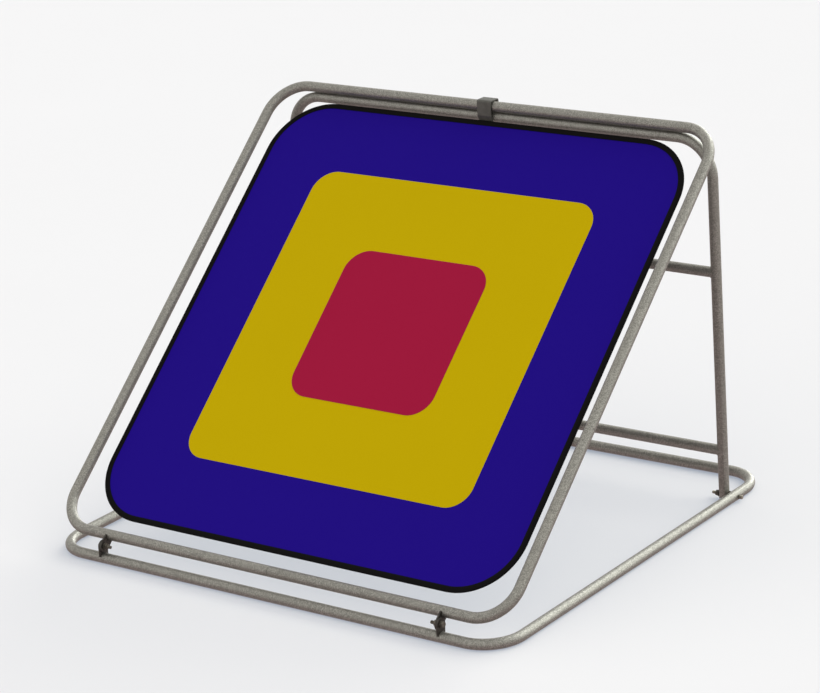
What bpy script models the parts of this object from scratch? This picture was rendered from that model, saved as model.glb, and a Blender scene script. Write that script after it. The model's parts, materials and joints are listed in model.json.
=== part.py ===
"""Folding floor stand with a reclined square sign panel.

A base ring of round tube lies on the floor. A front frame of the same tube is
hinged above the base's front bar and leans back on an upright leg frame, which
is bolted between the base's side bars. The sign hangs from the front frame's
top bar by one bent strap, which also hooks the leg frame's top bar in place.

World frame: +X right along the front bar, +Y back, +Z up, metres. The origin is
on the floor, under the middle of the bounding box. Dimensions are in millimetres.
"""

import math

import bmesh
import bpy
from mathutils import Vector

MM = 0.001
GAP = 0.3                 # between pieces that touch
SADDLE_GAP = 0.8          # between a crossbar's shaped end and the tube it meets

# Tube
TUBE_R = 12.7             # 25.4 mm tube
TUBE_WALL = 2.0
TUBE_SIDES = 16
BEND_R = 90.0             # centre line of every corner
BEND_STEPS = 6
SLEEVE_LENGTH = 110.0     # plug inside each butt joint

# Base ring, measured between centre lines
BASE_WIDTH = 1280.0
BASE_DEPTH = 1133.0

# Front frame, centre lines, and where its bottom bar stands over the base's front bar
FRONT_WIDTH = 1280.0
FRONT_HEIGHT = 1284.0
FRONT_BAR_Y = 24.1
FRONT_BAR_Z = 50.0
RECLINE = math.radians(41.28)
FRONT_SEAM_X = 0.0

# Leg frame
LEG_Y = 992.8
LEG_SIDE_GAP = 1.9        # between the leg's tube and the base's side bar
LEG_UNDER_FRONT = (2.9, -26.1)
CROSSBAR_HEIGHTS = (111.0, 553.5)
LEG_END_R = 12.5

# Hinges of the front frame: middles of the left and right joints, and their lugs
HINGE_X = (-483.0, 486.2)
LUG_T = 4.0
LUG_EYE_R = 15.0
LUG_HORN_ANGLE = 65.0     # how far each lug reaches round its tube, from its own axis
LUG_HORN = 2.2            # thickness of the lug at its tips
HINGE_BOLT_R = 4.0
HINGE_HEAD_AF = 13.0
HINGE_WASHER_R = 8.5
HINGE_THREAD_END = 23.0   # from the joint's middle

# Bolts of the leg frame
LEG_BOLT_R = 4.0
LEG_HEAD_R = 4.8          # plain round head outside the base's side bar
LEG_HEAD_LENGTH = 7.5
LEG_COLLAR_R = 5.6        # washer under the head
LEG_NUT_AF = 13.0
LEG_WASHER_R = 8.5
BOLT_CLEARANCE = 0.3
LEG_THREAD_END = 581.0

# Sign
SIGN_SIZE = 1200.0
SIGN_CORNER_R = 150.0
SIGN_TOP_FROM_BAR = 32.8  # from the top bar's centre line down the frame's plane
SIGN_FACE_N = -15.0       # face plane behind the frame's centre plane
SHEET_T = 2.0
TRIM_T = 1.2
TRIM_LEG = 14.0
YELLOW_SIZE = 816.0
RED_SIZE = 408.0
PATCH_CORNER_R = 60.0
FILM_T = 0.4
CORNER_STEPS = 8

# Stiffening rails bonded across the back of the sign
RAIL_LENGTH = 1060.0
RAIL_HEIGHT = 20.0
RAIL_CROWN = 40.0
RAIL_FLANGE = 15.0
RAIL_WALL = 2.0
RAIL_OFFSET = 340.0       # each side of the sign's middle

# Hanger strap
STRAP_X = -7.0
STRAP_WIDTH = 40.0
STRAP_T = 4.0
STRAP_BACK_GAP = 1.0      # extra room behind the top bar
STRAP_LIP_Z = 4.0         # where the lip behind the top bar ends
STRAP_BEND_Z = -20.5
STRAP_TAIL = 112.0
STUD_R = 3.0
STUD_DROPS = (46.0, 86.0)

FACET = math.cos(math.pi / TUBE_SIDES)
TUBE_V = TUBE_R / FACET   # radius of the tube's corners
BORE_V = (TUBE_R - TUBE_WALL) / FACET

# Both lugs are equally long, so the hinge axis lies in the front frame's plane, as far
# from the front frame's bottom bar as from the base's front bar.
UP_FRAME = (math.cos(RECLINE), math.sin(RECLINE))
BARS_APART_SQUARED = FRONT_BAR_Y ** 2 + FRONT_BAR_Z ** 2
BARS_ALONG_FRAME = FRONT_BAR_Y * UP_FRAME[0] + FRONT_BAR_Z * UP_FRAME[1]
LUG_LENGTH = BARS_APART_SQUARED / 2 / BARS_ALONG_FRAME
HINGE_Y = FRONT_BAR_Y - LUG_LENGTH * UP_FRAME[0]
HINGE_Z = FRONT_BAR_Z - LUG_LENGTH * UP_FRAME[1]
CENTRE_Y = (HINGE_Y - LUG_EYE_R + BASE_DEPTH + TUBE_R) / 2


def rgb(red, green, blue):
    """8-bit sRGB to Blender's linear colour."""
    channels = [value / 255 for value in (red, green, blue)]
    linear = [c / 12.92 if c < 0.04045 else ((c + 0.055) / 1.055) ** 2.4 for c in channels]
    return (*linear, 1.0)


# colour, roughness, metallic
FINISHES = {
    "galvanised": (rgb(146, 143, 134), 0.5, 0.85),
    "dark_steel": (rgb(62, 59, 55), 0.55, 0.8),
    "zinc": (rgb(120, 117, 108), 0.4, 0.9),
    "strap_steel": (rgb(84, 83, 76), 0.55, 0.7),
    "aluminium": (rgb(170, 172, 174), 0.45, 0.9),
    "blue_film": (rgb(33, 15, 125), 0.4, 0.0),
    "yellow_film": (rgb(187, 163, 0), 0.4, 0.0),
    "red_film": (rgb(155, 27, 58), 0.4, 0.0),
    "black_trim": (rgb(18, 17, 17), 0.5, 0.0),
}


def clear_scene():
    for obj in list(bpy.data.objects):
        bpy.data.objects.remove(obj, do_unlink=True)


def empty(name, parent, location=(0, 0, 0), turn_x=0.0):
    obj = bpy.data.objects.new(name, None)
    bpy.context.scene.collection.objects.link(obj)
    obj.empty_display_size = 0.05
    obj.location = Vector(location) * MM
    obj.rotation_euler = (turn_x, 0, 0)
    obj.parent = parent
    return obj


def material_for(name, finish):
    colour, roughness, metallic = FINISHES[finish]
    material = bpy.data.materials.new(name)
    material.use_nodes = True
    shader = material.node_tree.nodes["Principled BSDF"]
    shader.inputs["Base Color"].default_value = colour
    shader.inputs["Roughness"].default_value = roughness
    shader.inputs["Metallic"].default_value = metallic
    material.diffuse_color = colour
    return material


def solid(name, parent, points, faces, finish, smooth=True):
    """A closed mesh object from points in millimetres in its parent's frame."""
    mesh = bpy.data.meshes.new(name)
    mesh.from_pydata([Vector(p) * MM for p in points], [], faces)
    shape = bmesh.new()
    shape.from_mesh(mesh)
    bmesh.ops.recalc_face_normals(shape, faces=shape.faces[:])
    shape.to_mesh(mesh)
    shape.free()
    if smooth:
        mesh.shade_smooth()
        mesh.set_sharp_from_angle(angle=math.radians(35))
    obj = bpy.data.objects.new(name, mesh)
    bpy.context.scene.collection.objects.link(obj)
    obj.parent = parent
    if finish:
        mesh.materials.append(material_for(name, finish))
    return obj


def cutter(name, parent, points, faces):
    obj = solid(name, parent, points, faces, None, smooth=False)
    obj.hide_render = True
    obj.display_type = "WIRE"
    return obj


def cut(obj, tool):
    boolean = obj.modifiers.new("cut_" + tool.name, "BOOLEAN")
    boolean.operation = "DIFFERENCE"
    boolean.solver = "EXACT"
    boolean.object = tool


def ring_faces(rings, sides, closed=False):
    """Quads that join each ring of points to the next one."""
    faces = []
    for i in range(rings if closed else rings - 1):
        a = i * sides
        b = (i + 1) % rings * sides
        for j in range(sides):
            k = (j + 1) % sides
            faces.append((a + j, a + k, b + k, b + j))
    return faces


def loft(rings):
    """Points and faces of a solid through rings of equal size, with flat ends."""
    sides = len(rings[0])
    points = [p for ring in rings for p in ring]
    faces = ring_faces(len(rings), sides)
    faces.append(tuple(range(sides)))
    faces.append(tuple(range(len(points) - sides, len(points))))
    return points, faces


def loft_hollow(outer, inner):
    """Points and faces of an open-ended tube from matching outer and inner rings."""
    sides = len(outer[0])
    points = [p for ring in outer for p in ring]
    start = len(points)
    points += [p for ring in inner for p in ring]
    faces = ring_faces(len(outer), sides)
    faces += [tuple(start + i for i in face) for face in ring_faces(len(inner), sides)]
    for first in (0, start - sides):
        for j in range(sides):
            k = (j + 1) % sides
            faces.append((first + j, first + k, start + first + k, start + first + j))
    return points, faces


def circle(centre, radius, axis_a, axis_b, sides=TUBE_SIDES, phase=0.5):
    """A ring of points. A phase of half a step puts a flat side on each axis."""
    ring = []
    for i in range(sides):
        angle = 2 * math.pi * (i + phase) / sides
        ring.append(centre + radius * (math.cos(angle) * axis_a + math.sin(angle) * axis_b))
    return ring


def path_rings(path, normal, radius):
    """Sections of a tube round a flat path of (point, direction) pairs."""
    return [circle(point, radius, normal, along.cross(normal)) for point, along in path]


def bent_tube(name, parent, path, normal, finish="galvanised"):
    outer = path_rings(path, normal, TUBE_V)
    inner = path_rings(path, normal, BORE_V)
    return solid(name, parent, *loft_hollow(outer, inner), finish)


def bend(centre, start, steps=BEND_STEPS, radius=BEND_R, turn=90.0):
    """(x, y) points and directions round one anticlockwise corner from an angle in degrees."""
    found = []
    for i in range(steps + 1):
        angle = math.radians(start + turn * i / steps)
        point = (centre[0] + radius * math.cos(angle), centre[1] + radius * math.sin(angle))
        found.append((point, (-math.sin(angle), math.cos(angle))))
    return found


def ring_path(width, depth, seam_x, seam_at_back, to_3d):
    """Round a rounded rectangle from one side of its butt joint to the other."""
    half = width / 2 - BEND_R
    low, high = BEND_R, depth - BEND_R
    corners = [
        bend((half, low), -90),
        bend((half, high), 0),
        bend((-half, high), 90),
        bend((-half, low), 180),
    ]
    if seam_at_back:
        corners = corners[2:] + corners[:2]
        start, end = (seam_x - GAP / 2, depth), (seam_x + GAP / 2, depth)
        along = (-1, 0)
    else:
        start, end = (seam_x + GAP / 2, 0), (seam_x - GAP / 2, 0)
        along = (1, 0)
    flat = [(start, along)] + [pair for corner in corners for pair in corner] + [(end, along)]
    return [(to_3d(*point), to_3d(*direction)) for point, direction in flat]


def on_floor_plane(x, y):
    return Vector((x, y, 0))


def upright(x, z):
    return Vector((x, 0, z))


def x_tube(name, parent, x0, x1, centre, outer_r, inner_r, finish, sides=TUBE_SIDES):
    """An open tube or washer along X."""
    axis_a, axis_b = Vector((0, 1, 0)), Vector((0, 0, 1))
    ends = [Vector((x, *centre)) for x in (x0, x1)]
    outer = [circle(end, outer_r, axis_a, axis_b, sides) for end in ends]
    inner = [circle(end, inner_r, axis_a, axis_b, sides) for end in ends]
    return solid(name, parent, *loft_hollow(outer, inner), finish)


def hexagon(x, centre, flats, turn=0.0):
    """Twelve points: the corners of a hexagon and the middles of its sides."""
    ring = []
    for i in range(12):
        angle = math.radians(30 * i) + turn
        radius = flats / 2 / (math.cos(math.radians(30)) if i % 2 == 0 else 1)
        ring.append(Vector((x, centre[0] + radius * math.cos(angle), centre[1] + radius * math.sin(angle))))
    return ring


def round_section(x, centre, radius, sides=12):
    return circle(Vector((x, *centre)), radius, Vector((0, 1, 0)), Vector((0, 0, 1)), sides, 0)


def bolt(name, parent, head_x, seat_x, end_x, centre, radius, head):
    """A bolt along X: head from head_x to seat_x, shank on to end_x. head(x) is the head's outline."""
    chamfer = 1.0 if end_x < seat_x else -1.0
    rings = [
        head(head_x),
        head(seat_x),
        round_section(seat_x, centre, radius),
        round_section(end_x + chamfer, centre, radius),
        round_section(end_x, centre, radius - 1.0),
    ]
    return solid(name, parent, *loft(rings), "zinc")


def nut(name, parent, x0, x1, centre, radius, flats):
    outer = [hexagon(x, centre, flats) for x in (x0, x1)]
    inner = [round_section(x, centre, radius + BOLT_CLEARANCE / 2) for x in (x0, x1)]
    return solid(name, parent, *loft_hollow(outer, inner), "dark_steel")


def washer(name, parent, x0, x1, centre, outer_r, bolt_r):
    hole = (bolt_r + BOLT_CLEARANCE) / math.cos(math.pi / TUBE_SIDES)
    return x_tube(name, parent, x0, x1, centre, outer_r, hole, "dark_steel")


def x_cylinder(name, parent, x0, x1, centre, radius):
    rings = [round_section(x, centre, radius, 16) for x in (x0, x1)]
    return cutter(name, parent, *loft(rings))


def extrude_x(profile, x0, x1):
    """Points and faces of a flat (y, z) outline pushed from x0 to x1."""
    return loft([[Vector((x, y, z)) for y, z in profile] for x in (x0, x1)])


def arc(centre, radius, start, end, steps):
    """(y, z) points of an arc between two angles in degrees."""
    found = []
    for i in range(steps + 1):
        angle = math.radians(start + (end - start) * i / steps)
        found.append((centre[0] + radius * math.cos(angle), centre[1] + radius * math.sin(angle)))
    return found


def tangent_angle(centre, radius, point, side):
    """Angle in degrees, about the circle's centre, where a line from the point touches it."""
    dy, dz = point[0] - centre[0], point[1] - centre[1]
    spread = math.degrees(math.acos(radius / math.hypot(dy, dz)))
    return math.degrees(math.atan2(dz, dy)) + side * spread


def lug_outline(length):
    """A lug along +Y that saddles a tube at the origin and ends round an eye at the given length."""
    seat_r = TUBE_V + GAP
    start, end = 90 - LUG_HORN_ANGLE, 90 + LUG_HORN_ANGLE
    saddle = arc((0, 0), seat_r, start, end, 12)
    tips = []
    for angle in (end + 3, start - 3):
        tip = math.radians(angle)
        tips.append(((seat_r + LUG_HORN) * math.cos(tip), (seat_r + LUG_HORN) * math.sin(tip)))
    eye = (0, length)
    near = tangent_angle(eye, LUG_EYE_R, tips[0], -1)
    far = tangent_angle(eye, LUG_EYE_R, tips[1], 1)
    return saddle + [tips[0]] + arc(eye, LUG_EYE_R, near, near - (near - far) % 360, 14) + [tips[1]]


def turned(points, axis_angle, origin):
    """Points drawn along +Y, turned so that +Y points along an angle, and moved to an origin."""
    turn = axis_angle - math.pi / 2
    c, s = math.cos(turn), math.sin(turn)
    return [(origin[0] + a * c - b * s, origin[1] + a * s + b * c) for a, b in points]


def build_base(root):
    path = ring_path(BASE_WIDTH, BASE_DEPTH, 0.0, True, on_floor_plane)
    frame = bent_tube("base_frame", root, path, Vector((0, 0, 1)))
    x_tube("base_frame_sleeve", root, -SLEEVE_LENGTH / 2, SLEEVE_LENGTH / 2, (BASE_DEPTH, 0),
           TUBE_R - TUBE_WALL - GAP, TUBE_R - 2 * TUBE_WALL - GAP, "galvanised")
    return frame


def build_front(hinge):
    """The front frame, in its hinge's frame: +Y up the frame, +Z out of its face."""
    bar = (LUG_LENGTH, 0)
    path = ring_path(FRONT_WIDTH, FRONT_HEIGHT, FRONT_SEAM_X, False, on_floor_plane)
    offset = Vector((0, *bar))
    path = [(point + offset, along) for point, along in path]
    bent_tube("front_frame", hinge, path, Vector((0, 0, 1)))
    x_tube("front_frame_sleeve", hinge, FRONT_SEAM_X - SLEEVE_LENGTH / 2, FRONT_SEAM_X + SLEEVE_LENGTH / 2,
           bar, TUBE_R - TUBE_WALL - GAP, TUBE_R - 2 * TUBE_WALL - GAP, "galvanised")


def top_bar():
    """The front frame's top bar, as (y, z) from the base's front bar."""
    return (
        FRONT_BAR_Y + FRONT_HEIGHT * math.cos(RECLINE),
        FRONT_BAR_Z + FRONT_HEIGHT * math.sin(RECLINE),
    )


def build_leg(pivot):
    """The leg frame, in its pivot's frame: its feet turn on the X axis."""
    half = BASE_WIDTH / 2 - 2 * TUBE_R - LEG_SIDE_GAP
    height = top_bar()[1] + LEG_UNDER_FRONT[1]
    foot = Vector((0, 0, -1)) * LEG_END_R
    corners = bend((half - BEND_R, height - BEND_R), 0) + bend((BEND_R - half, height - BEND_R), 90)
    path = [(upright(half, 0) + foot, upright(0, 1))]
    path += [(upright(*point), upright(*direction)) for point, direction in corners]
    path += [(upright(-half, 0) + foot, upright(0, -1))]
    frame = bent_tube("leg_frame", pivot, path, Vector((0, 1, 0)))
    for side, x in (("left", -half), ("right", half)):
        cut(frame, foot_cutter("leg_foot_cutter_" + side, pivot, x))
    for name, z in zip(("lower", "upper"), CROSSBAR_HEIGHTS):
        crossbar("leg_crossbar_" + name, pivot, half, z)
    return frame


def foot_cutter(name, pivot, x):
    """Rounds the foot off about the pivot, so that it turns clear of the floor."""
    reach = TUBE_V + 2
    outline = arc((0, 0), LEG_END_R, 180, 360, 12)
    outline += [(reach, 0.0), (reach, -reach - LEG_END_R), (-reach, -reach - LEG_END_R), (-reach, 0.0)]
    return cutter(name, pivot, *extrude_x(outline, x - reach, x + reach))


def crossbar(name, pivot, half, z):
    """A tube between the leg's sides, its ends shaped to the round of each side."""
    outer, inner = [], []
    for sign in (-1, 1):
        for rings, radius in ((outer, TUBE_V), (inner, BORE_V)):
            ring = circle(Vector((0, 0, z)), radius, Vector((0, 1, 0)), Vector((0, 0, 1)))
            for point in ring:
                point.x = sign * (half - math.sqrt((TUBE_V + SADDLE_GAP) ** 2 - point.y ** 2))
            rings.append(ring)
    solid(name, pivot, *loft_hollow(outer, inner), "galvanised")


def build_leg_bolts(root, base_frame, leg_frame, pivot):
    leg_x = BASE_WIDTH / 2 - 2 * TUBE_R - LEG_SIDE_GAP
    outer_face = BASE_WIDTH / 2 + TUBE_R + GAP
    inner_face = leg_x - TUBE_R - GAP
    between = BASE_WIDTH / 2 - TUBE_R - GAP
    at_root, at_pivot = (LEG_Y, 0), (0, 0)
    for side, sign in (("left", -1), ("right", 1)):
        tool = x_cylinder("base_hole_cutter_" + side, root, sign * 600, sign * 680, at_root,
                          LEG_BOLT_R + BOLT_CLEARANCE)
        cut(base_frame, tool)
        tool = x_cylinder("leg_hole_cutter_" + side, pivot, sign * 560, sign * 640, at_pivot,
                          LEG_BOLT_R + BOLT_CLEARANCE)
        cut(leg_frame, tool)
        washer("leg_washer_outer_" + side, root, sign * outer_face, sign * (outer_face + 1.6), at_root,
               LEG_COLLAR_R, LEG_BOLT_R)
        seat = outer_face + 1.6 + GAP
        bolt("leg_bolt_" + side, root, sign * (seat + LEG_HEAD_LENGTH), sign * seat, sign * LEG_THREAD_END,
             at_root, LEG_BOLT_R, lambda x: round_section(x, at_root, LEG_HEAD_R))
        spacer = between - LEG_SIDE_GAP + 2 * GAP
        washer("leg_spacer_" + side, root, sign * spacer, sign * between, at_root, 10.0, LEG_BOLT_R)
        washer("leg_washer_inner_" + side, root, sign * inner_face, sign * (inner_face - 1.6), at_root,
               LEG_WASHER_R, LEG_BOLT_R)
        face = inner_face - 1.6 - GAP
        nut("leg_nut_" + side, root, sign * (face - 6.5), sign * face, at_root, LEG_BOLT_R, LEG_NUT_AF)


def build_hinges(root, front_hinge):
    eye = (HINGE_Y, HINGE_Z)
    outline = lug_outline(LUG_LENGTH)
    lower = turned(outline, math.atan2(HINGE_Z, HINGE_Y), (0, 0))
    upper = turned(outline, math.pi, (LUG_LENGTH, 0))
    half_gap = GAP / 2
    for side, sign, middle in (("left", -1, HINGE_X[0]), ("right", 1, HINGE_X[1])):
        outward = [middle + sign * half_gap, middle + sign * (half_gap + LUG_T)]
        inward = [middle - sign * half_gap, middle - sign * (half_gap + LUG_T)]
        hole = x_cylinder("hinge_hole_cutter_" + side, root, middle - 20, middle + 20, eye,
                          HINGE_BOLT_R + BOLT_CLEARANCE)
        lug = solid("hinge_lug_lower_" + side, root, *extrude_x(lower, *outward), "dark_steel")
        cut(lug, hole)
        lug = solid("hinge_lug_upper_" + side, front_hinge, *extrude_x(upper, *inward), "dark_steel")
        cut(lug, hole)
        face = half_gap + LUG_T + GAP
        washer("hinge_washer_outer_" + side, root, middle + sign * face, middle + sign * (face + 1.6), eye,
               HINGE_WASHER_R, HINGE_BOLT_R)
        seat = middle + sign * (face + 1.6 + GAP)
        bolt("hinge_bolt_" + side, root, seat + sign * 5.3, seat, middle - sign * HINGE_THREAD_END, eye,
             HINGE_BOLT_R, lambda x: hexagon(x, eye, HINGE_HEAD_AF))
        washer("hinge_washer_inner_" + side, root, middle - sign * face, middle - sign * (face + 1.6), eye,
               HINGE_WASHER_R, HINGE_BOLT_R)
        seat = middle - sign * (face + 1.6 + GAP)
        nut("hinge_nut_" + side, root, seat - sign * 6.5, seat, eye, HINGE_BOLT_R, HINGE_HEAD_AF)


def rounded_square(size, corner_r, centre_y, steps=CORNER_STEPS):
    """(x, y) points of a rounded square, anticlockwise."""
    half = size / 2 - corner_r
    points = []
    for i, (sx, sy) in enumerate(((1, 1), (-1, 1), (-1, -1), (1, -1))):
        corner = bend((sx * half, centre_y + sy * half), 90 * i, steps, corner_r)
        points += [point for point, _ in corner]
    return points


def plate(name, parent, size, corner_r, centre_y, n0, n1, finish):
    outline = rounded_square(size, corner_r, centre_y)
    rings = [[Vector((x, y, n)) for x, y in outline] for n in (n0, n1)]
    return solid(name, parent, *loft(rings), finish)


def build_sign(hinge, plane):
    """The sign, in the plane's frame: +Y up the sign, +Z out of its face."""
    centre = -SIGN_TOP_FROM_BAR - SIGN_SIZE / 2
    face = SIGN_FACE_N
    sheet_face = face - TRIM_T - GAP
    sheet_back = sheet_face - SHEET_T
    inset = TRIM_T + GAP
    plate("sign_panel", plane, SIGN_SIZE - 2 * inset, SIGN_CORNER_R - inset, centre,
          sheet_back, sheet_face, "blue_film")
    film = sheet_face + GAP
    plate("sign_yellow_square", plane, YELLOW_SIZE, PATCH_CORNER_R, centre,
          film, film + FILM_T, "yellow_film")
    film += FILM_T + GAP
    plate("sign_red_square", plane, RED_SIZE, PATCH_CORNER_R, centre,
          film, film + FILM_T, "red_film")
    trim = build_trim(plane, centre, face, sheet_back - GAP - TRIM_T)
    build_rails(plane, centre, sheet_back - GAP)
    build_strap(hinge, plane, trim, sheet_back)


def build_trim(plane, centre, front, back):
    """A channel that grips the sheet's edge all round."""
    def level(inset, n):
        outline = rounded_square(SIGN_SIZE - 2 * inset, SIGN_CORNER_R - inset, centre)
        return [Vector((x, y, n)) for x, y in outline]

    section = [
        level(0, front),
        level(TRIM_LEG, front),
        level(TRIM_LEG, front - TRIM_T),
        level(TRIM_T, front - TRIM_T),
        level(TRIM_T, back + TRIM_T),
        level(TRIM_LEG, back + TRIM_T),
        level(TRIM_LEG, back),
        level(0, back),
    ]
    points = [p for ring in section for p in ring]
    faces = ring_faces(len(section), len(section[0]), closed=True)
    return solid("edge_trim", plane, points, faces, "black_trim")


def build_rails(plane, centre, foot):
    crown = foot - RAIL_HEIGHT
    half, wall = RAIL_CROWN / 2, RAIL_WALL
    edge = half + RAIL_FLANGE
    outline = [
        (-edge, foot), (-edge, foot - wall), (-half, foot - wall), (-half, crown),
        (half, crown), (half, foot - wall), (edge, foot - wall), (edge, foot),
        (half - wall, foot), (half - wall, crown + wall), (wall - half, crown + wall), (wall - half, foot),
    ]
    for name, offset in (("lower", -RAIL_OFFSET), ("upper", RAIL_OFFSET)):
        moved = [(y + centre + offset, n) for y, n in outline]
        shape = extrude_x(moved, -RAIL_LENGTH / 2, RAIL_LENGTH / 2)
        solid("sign_rail_" + name, plane, *shape, "aluminium", smooth=False)


def fillet(before, corner, after, radius, steps=5):
    """Points of an arc of the given radius that rounds a corner of a flat path."""
    corner = Vector(corner)
    back = (Vector(before) - corner).normalized()
    on = (Vector(after) - corner).normalized()
    half = back.angle(on) / 2
    reach = radius / math.tan(half)
    centre = corner + (back + on).normalized() * (radius / math.sin(half))
    first = corner + back * reach - centre
    last = corner + on * reach - centre
    sweep = math.atan2(first.cross(last), first.dot(last))
    found = []
    for i in range(steps + 1):
        angle = sweep * i / steps
        turned = Vector((first.x * math.cos(angle) - first.y * math.sin(angle),
                         first.x * math.sin(angle) + first.y * math.cos(angle)))
        found.append(centre + turned)
    return found


def thicken(path, thickness):
    """Outline of a strip of even thickness along a path of 2D points."""
    left, right = [], []
    for i, point in enumerate(path):
        before = path[max(i - 1, 0)]
        after = path[min(i + 1, len(path) - 1)]
        along_in = (point - before).normalized() if i else (after - point).normalized()
        along_out = (after - point).normalized() if i < len(path) - 1 else along_in
        along = (along_in + along_out).normalized()
        stretch = thickness / 2 / max(along.dot(along_out), 0.5)
        across = Vector((-along.y, along.x)) * stretch
        left.append(point + across)
        right.append(point - across)
    return left + right[::-1]


def strap_path(sheet_back):
    """The strap's middle line, as (y, z) from the top bar's centre.

    From a short lip behind the top bar it lies over the bar, drops in front of both
    bars, passes under the leg frame's top bar along a line that just clears it, and
    turns down the sheet's back.
    """
    half = STRAP_T / 2
    front = -(TUBE_V + GAP + half)
    top = TUBE_V + GAP + half
    leg = Vector(LEG_UNDER_FRONT)
    clear = TUBE_V + 0.5 + half
    bend_point = Vector((front, STRAP_BEND_Z))
    touch = math.radians(tangent_angle(tuple(leg), clear, tuple(bend_point), 1))
    touch_point = leg + clear * Vector((math.cos(touch), math.sin(touch)))
    along = (touch_point - bend_point).normalized()
    c, s = math.cos(RECLINE), math.sin(RECLINE)
    up, out = Vector((c, s)), Vector((-s, c))
    tail_n = sheet_back - GAP - half
    reach = (touch_point.dot(out) - tail_n) / -along.dot(out)
    turn = touch_point + along * reach
    end = out * tail_n - up * (SIGN_TOP_FROM_BAR + STRAP_TAIL)
    back = STRAP_BACK_GAP - front
    stops = [Vector((back, STRAP_LIP_Z)), Vector((back, top)), Vector((front, top)), bend_point, turn, end]
    path = [stops[0]]
    for i, radius in ((1, 4.0), (2, 4.0), (3, 8.0), (4, 4.0)):
        path += fillet(stops[i - 1], stops[i], stops[i + 1], radius)
    return path + [stops[5]]


def build_strap(hinge, plane, trim, sheet_back):
    outline = [(p.x, p.y) for p in thicken(strap_path(sheet_back), STRAP_T)]
    half = STRAP_WIDTH / 2
    shape = extrude_x(outline, STRAP_X - half, STRAP_X + half)
    strap = solid("hanger_strap", hinge, *shape, "strap_steel")
    top = -SIGN_TOP_FROM_BAR
    y0, y1 = top - TRIM_LEG - 1, top + 1
    n0, n1 = sheet_back - GAP - TRIM_T - 1, SIGN_FACE_N - TRIM_T - GAP - 0.8
    notch = extrude_x([(y0, n0), (y1, n0), (y1, n1), (y0, n1)], STRAP_X - half - 2, STRAP_X + half + 2)
    cut(trim, cutter("trim_notch_cutter", plane, *notch))
    back = sheet_back - GAP - STRAP_T
    for name, drop in zip(("upper", "lower"), STUD_DROPS):
        y = top - drop
        hole = z_rod("strap_hole_cutter_" + name, plane, y, sheet_back + 1, back - 2,
                     STUD_R + BOLT_CLEARANCE, None)
        cut(strap, hole)
        z_rod("hanger_stud_" + name, plane, y, sheet_back - GAP, back - 9, STUD_R, "zinc")
        z_nut("hanger_nut_" + name, plane, y, back - GAP, back - GAP - 5)


def z_rod(name, plane, y, n0, n1, radius, finish):
    axis_a, axis_b = Vector((1, 0, 0)), Vector((0, 1, 0))
    rings = [circle(Vector((STRAP_X, y, n)), radius, axis_a, axis_b, 12) for n in (n0, n1)]
    if finish:
        return solid(name, plane, *loft(rings), finish)
    return cutter(name, plane, *loft(rings))


def z_nut(name, plane, y, n0, n1):
    outer, inner = [], []
    for n in (n0, n1):
        outer.append([Vector((STRAP_X + p.y, y + p.z, n)) for p in hexagon(0, (0, 0), 10.0)])
        inner.append(circle(Vector((STRAP_X, y, n)), STUD_R + BOLT_CLEARANCE / 2, Vector((1, 0, 0)),
                            Vector((0, 1, 0)), 12, 0))
    return solid(name, plane, *loft_hollow(outer, inner), "dark_steel")


def main():
    clear_scene()
    root = empty("stand", None, (0, -CENTRE_Y, TUBE_R))
    front_hinge = empty("front_frame_hinge", root, (0, HINGE_Y, HINGE_Z), RECLINE)
    leg_pivot = empty("leg_pivot", root, (0, LEG_Y, 0))
    sign_hinge = empty("sign_hinge", root, (0, *top_bar()))
    sign_plane = empty("sign_plane", sign_hinge, turn_x=RECLINE)
    base_frame = build_base(root)
    build_front(front_hinge)
    leg_frame = build_leg(leg_pivot)
    build_leg_bolts(root, base_frame, leg_frame, leg_pivot)
    build_hinges(root, front_hinge)
    build_sign(sign_hinge, sign_plane)


main()
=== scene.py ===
"""Looks of the folding sign stand: smooth tubes, pressed lugs, real fasteners and sign film.

Every piece is built in the shared frame, in metres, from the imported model's boxes and joints,
and rides on the body of the CAD node that it stands for.
"""

import json
import math

import bmesh
import bpy
from mathutils import Matrix, Vector


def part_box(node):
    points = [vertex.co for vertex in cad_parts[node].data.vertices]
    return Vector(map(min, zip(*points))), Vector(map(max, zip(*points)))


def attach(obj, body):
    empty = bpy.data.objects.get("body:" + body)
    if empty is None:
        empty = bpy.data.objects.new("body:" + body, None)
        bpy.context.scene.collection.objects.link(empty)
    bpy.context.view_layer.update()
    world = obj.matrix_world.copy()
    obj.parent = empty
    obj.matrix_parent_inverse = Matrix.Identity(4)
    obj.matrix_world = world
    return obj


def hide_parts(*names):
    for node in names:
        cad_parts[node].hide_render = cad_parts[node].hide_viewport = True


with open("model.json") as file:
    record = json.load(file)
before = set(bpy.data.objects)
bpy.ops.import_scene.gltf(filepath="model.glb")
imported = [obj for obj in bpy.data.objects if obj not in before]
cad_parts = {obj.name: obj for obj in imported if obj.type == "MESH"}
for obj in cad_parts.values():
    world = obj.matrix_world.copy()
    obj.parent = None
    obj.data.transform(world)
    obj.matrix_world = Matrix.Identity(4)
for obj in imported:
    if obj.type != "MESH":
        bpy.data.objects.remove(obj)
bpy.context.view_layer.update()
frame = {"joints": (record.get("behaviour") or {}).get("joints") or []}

X = Vector((1, 0, 0))
Y = Vector((0, 1, 0))
Z = Vector((0, 0, 1))

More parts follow.
